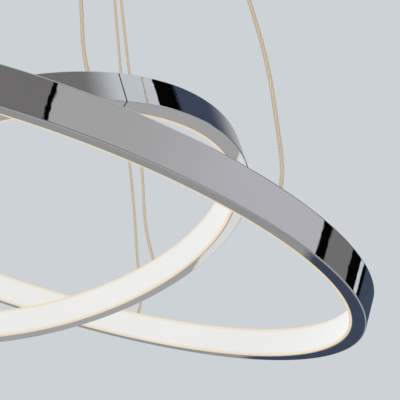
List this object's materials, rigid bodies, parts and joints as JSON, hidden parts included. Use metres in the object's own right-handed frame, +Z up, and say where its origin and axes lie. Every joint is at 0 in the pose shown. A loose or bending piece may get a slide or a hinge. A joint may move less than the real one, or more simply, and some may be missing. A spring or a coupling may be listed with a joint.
{
  "type": "led ring chandelier",
  "caption": "Pendant light of nested chrome rings leaning opposite ways, lit inwards through an opal diffuser and hung on thin clear cables from a round canopy.",
  "frame": {"origin": "centre of the mounting plate's two slots, in the ceiling plane", "axes": "+Z up, square to the ceiling; +X is the way the large ring leans down and the line of the two slots"},
  "size_m": [0.583, 0.6, 0.7785],
  "materials": {
    "ring_chrome": "polished and bright chrome plated",
    "canopy_chrome": "mirror chrome",
    "lit_diffuser": "satin opal, lit warm white from behind",
    "strip_white": "white solder mask",
    "chip_phosphor": "yellow phosphor gel",
    "plain_steel": "zinc plated, satin",
    "zinc_steel": "bright zinc plated sheet",
    "nickel_brass": "nickel plated brass",
    "driver_white": "fine moulded texture",
    "terminal_clear": "milky nylon",
    "clear_cable": "clear sheath over golden strands"
  },
  "bodies": {
    "mounting": {"mounting_plate": "zinc_steel", "mounting_tabs": "zinc_steel", "canopy_thumb_screws": "canopy_chrome", "earth_screw": "nickel_brass"},
    "canopy": {"canopy_cup": "canopy_chrome", "driver_case": "driver_white", "driver_lid": "driver_white", "driver_screws": "plain_steel", "terminal_block": "terminal_clear", "terminal_screws": "plain_steel", "gripper_bodies": "canopy_chrome", "gripper_jaws": "nickel_brass", "gripper_springs": "plain_steel", "gripper_nuts": "nickel_brass", "large_ring_cable_1": "clear_cable", "large_ring_cable_2": "clear_cable", "large_ring_cable_3": "clear_cable", "small_ring_cable_1": "clear_cable", "small_ring_cable_2": "clear_cable", "small_ring_cable_3": "clear_cable"},
    "large_ring": {"large_ring_profile": "ring_chrome", "large_ring_diffuser": "lit_diffuser", "large_ring_light_strip": "strip_white", "large_ring_light_chips": "chip_phosphor", "large_ring_seam_splice": "plain_steel", "large_ring_splice_screws": "plain_steel", "large_ring_anchor_blocks": "plain_steel", "large_ring_anchor_screws": "plain_steel", "large_ring_cable_ferrules": "nickel_brass"},
    "small_ring": {"small_ring_profile": "ring_chrome", "small_ring_diffuser": "lit_diffuser", "small_ring_light_strip": "strip_white", "small_ring_light_chips": "chip_phosphor", "small_ring_seam_splice": "plain_steel", "small_ring_splice_screws": "plain_steel", "small_ring_anchor_blocks": "plain_steel", "small_ring_anchor_screws": "plain_steel", "small_ring_cable_ferrules": "nickel_brass"},
    "gripper_sleeve_1": {"gripper_sleeve_1": "canopy_chrome"},
    "gripper_sleeve_2": {"gripper_sleeve_2": "canopy_chrome"},
    "gripper_sleeve_3": {"gripper_sleeve_3": "canopy_chrome"},
    "gripper_sleeve_4": {"gripper_sleeve_4": "canopy_chrome"},
    "gripper_sleeve_5": {"gripper_sleeve_5": "canopy_chrome"},
    "gripper_sleeve_6": {"gripper_sleeve_6": "canopy_chrome"}
  },
  "joints": [
    {"name": "canopy_drop", "type": "slide", "parent": "mounting", "child": "canopy", "axis": [0, 0, 1], "range_m": [-0.06, 0]},
    {"name": "large_ring_lift", "type": "slide", "parent": "canopy", "child": "large_ring", "axis": [0, 0, 1], "range_m": [0, 0.2], "deforming": ["large_ring_cable_1", "large_ring_cable_2", "large_ring_cable_3"]},
    {"name": "small_ring_lift", "type": "slide", "parent": "canopy", "child": "small_ring", "axis": [0, 0, 1], "range_m": [0, 0.1], "deforming": ["small_ring_cable_1", "small_ring_cable_2", "small_ring_cable_3"]},
    {"name": "gripper_release_1", "type": "slide", "parent": "canopy", "child": "gripper_sleeve_1", "axis": [0, 0, 1], "range_m": [0, 0.0025], "stiffness_N_per_m": 200, "springref_m": -0.001},
    {"name": "gripper_release_2", "type": "slide", "parent": "canopy", "child": "gripper_sleeve_2", "axis": [0, 0, 1], "range_m": [0, 0.0025], "stiffness_N_per_m": 200, "springref_m": -0.001},
    {"name": "gripper_release_3", "type": "slide", "parent": "canopy", "child": "gripper_sleeve_3", "axis": [0, 0, 1], "range_m": [0, 0.0025], "stiffness_N_per_m": 200, "springref_m": -0.001},
    {"name": "gripper_release_4", "type": "slide", "parent": "canopy", "child": "gripper_sleeve_4", "axis": [0, 0, 1], "range_m": [0, 0.0025], "stiffness_N_per_m": 200, "springref_m": -0.001},
    {"name": "gripper_release_5", "type": "slide", "parent": "canopy", "child": "gripper_sleeve_5", "axis": [0, 0, 1], "range_m": [0, 0.0025], "stiffness_N_per_m": 200, "springref_m": -0.001},
    {"name": "gripper_release_6", "type": "slide", "parent": "canopy", "child": "gripper_sleeve_6", "axis": [0, 0, 1], "range_m": [0, 0.0025], "stiffness_N_per_m": 200, "springref_m": -0.001}
  ]
}
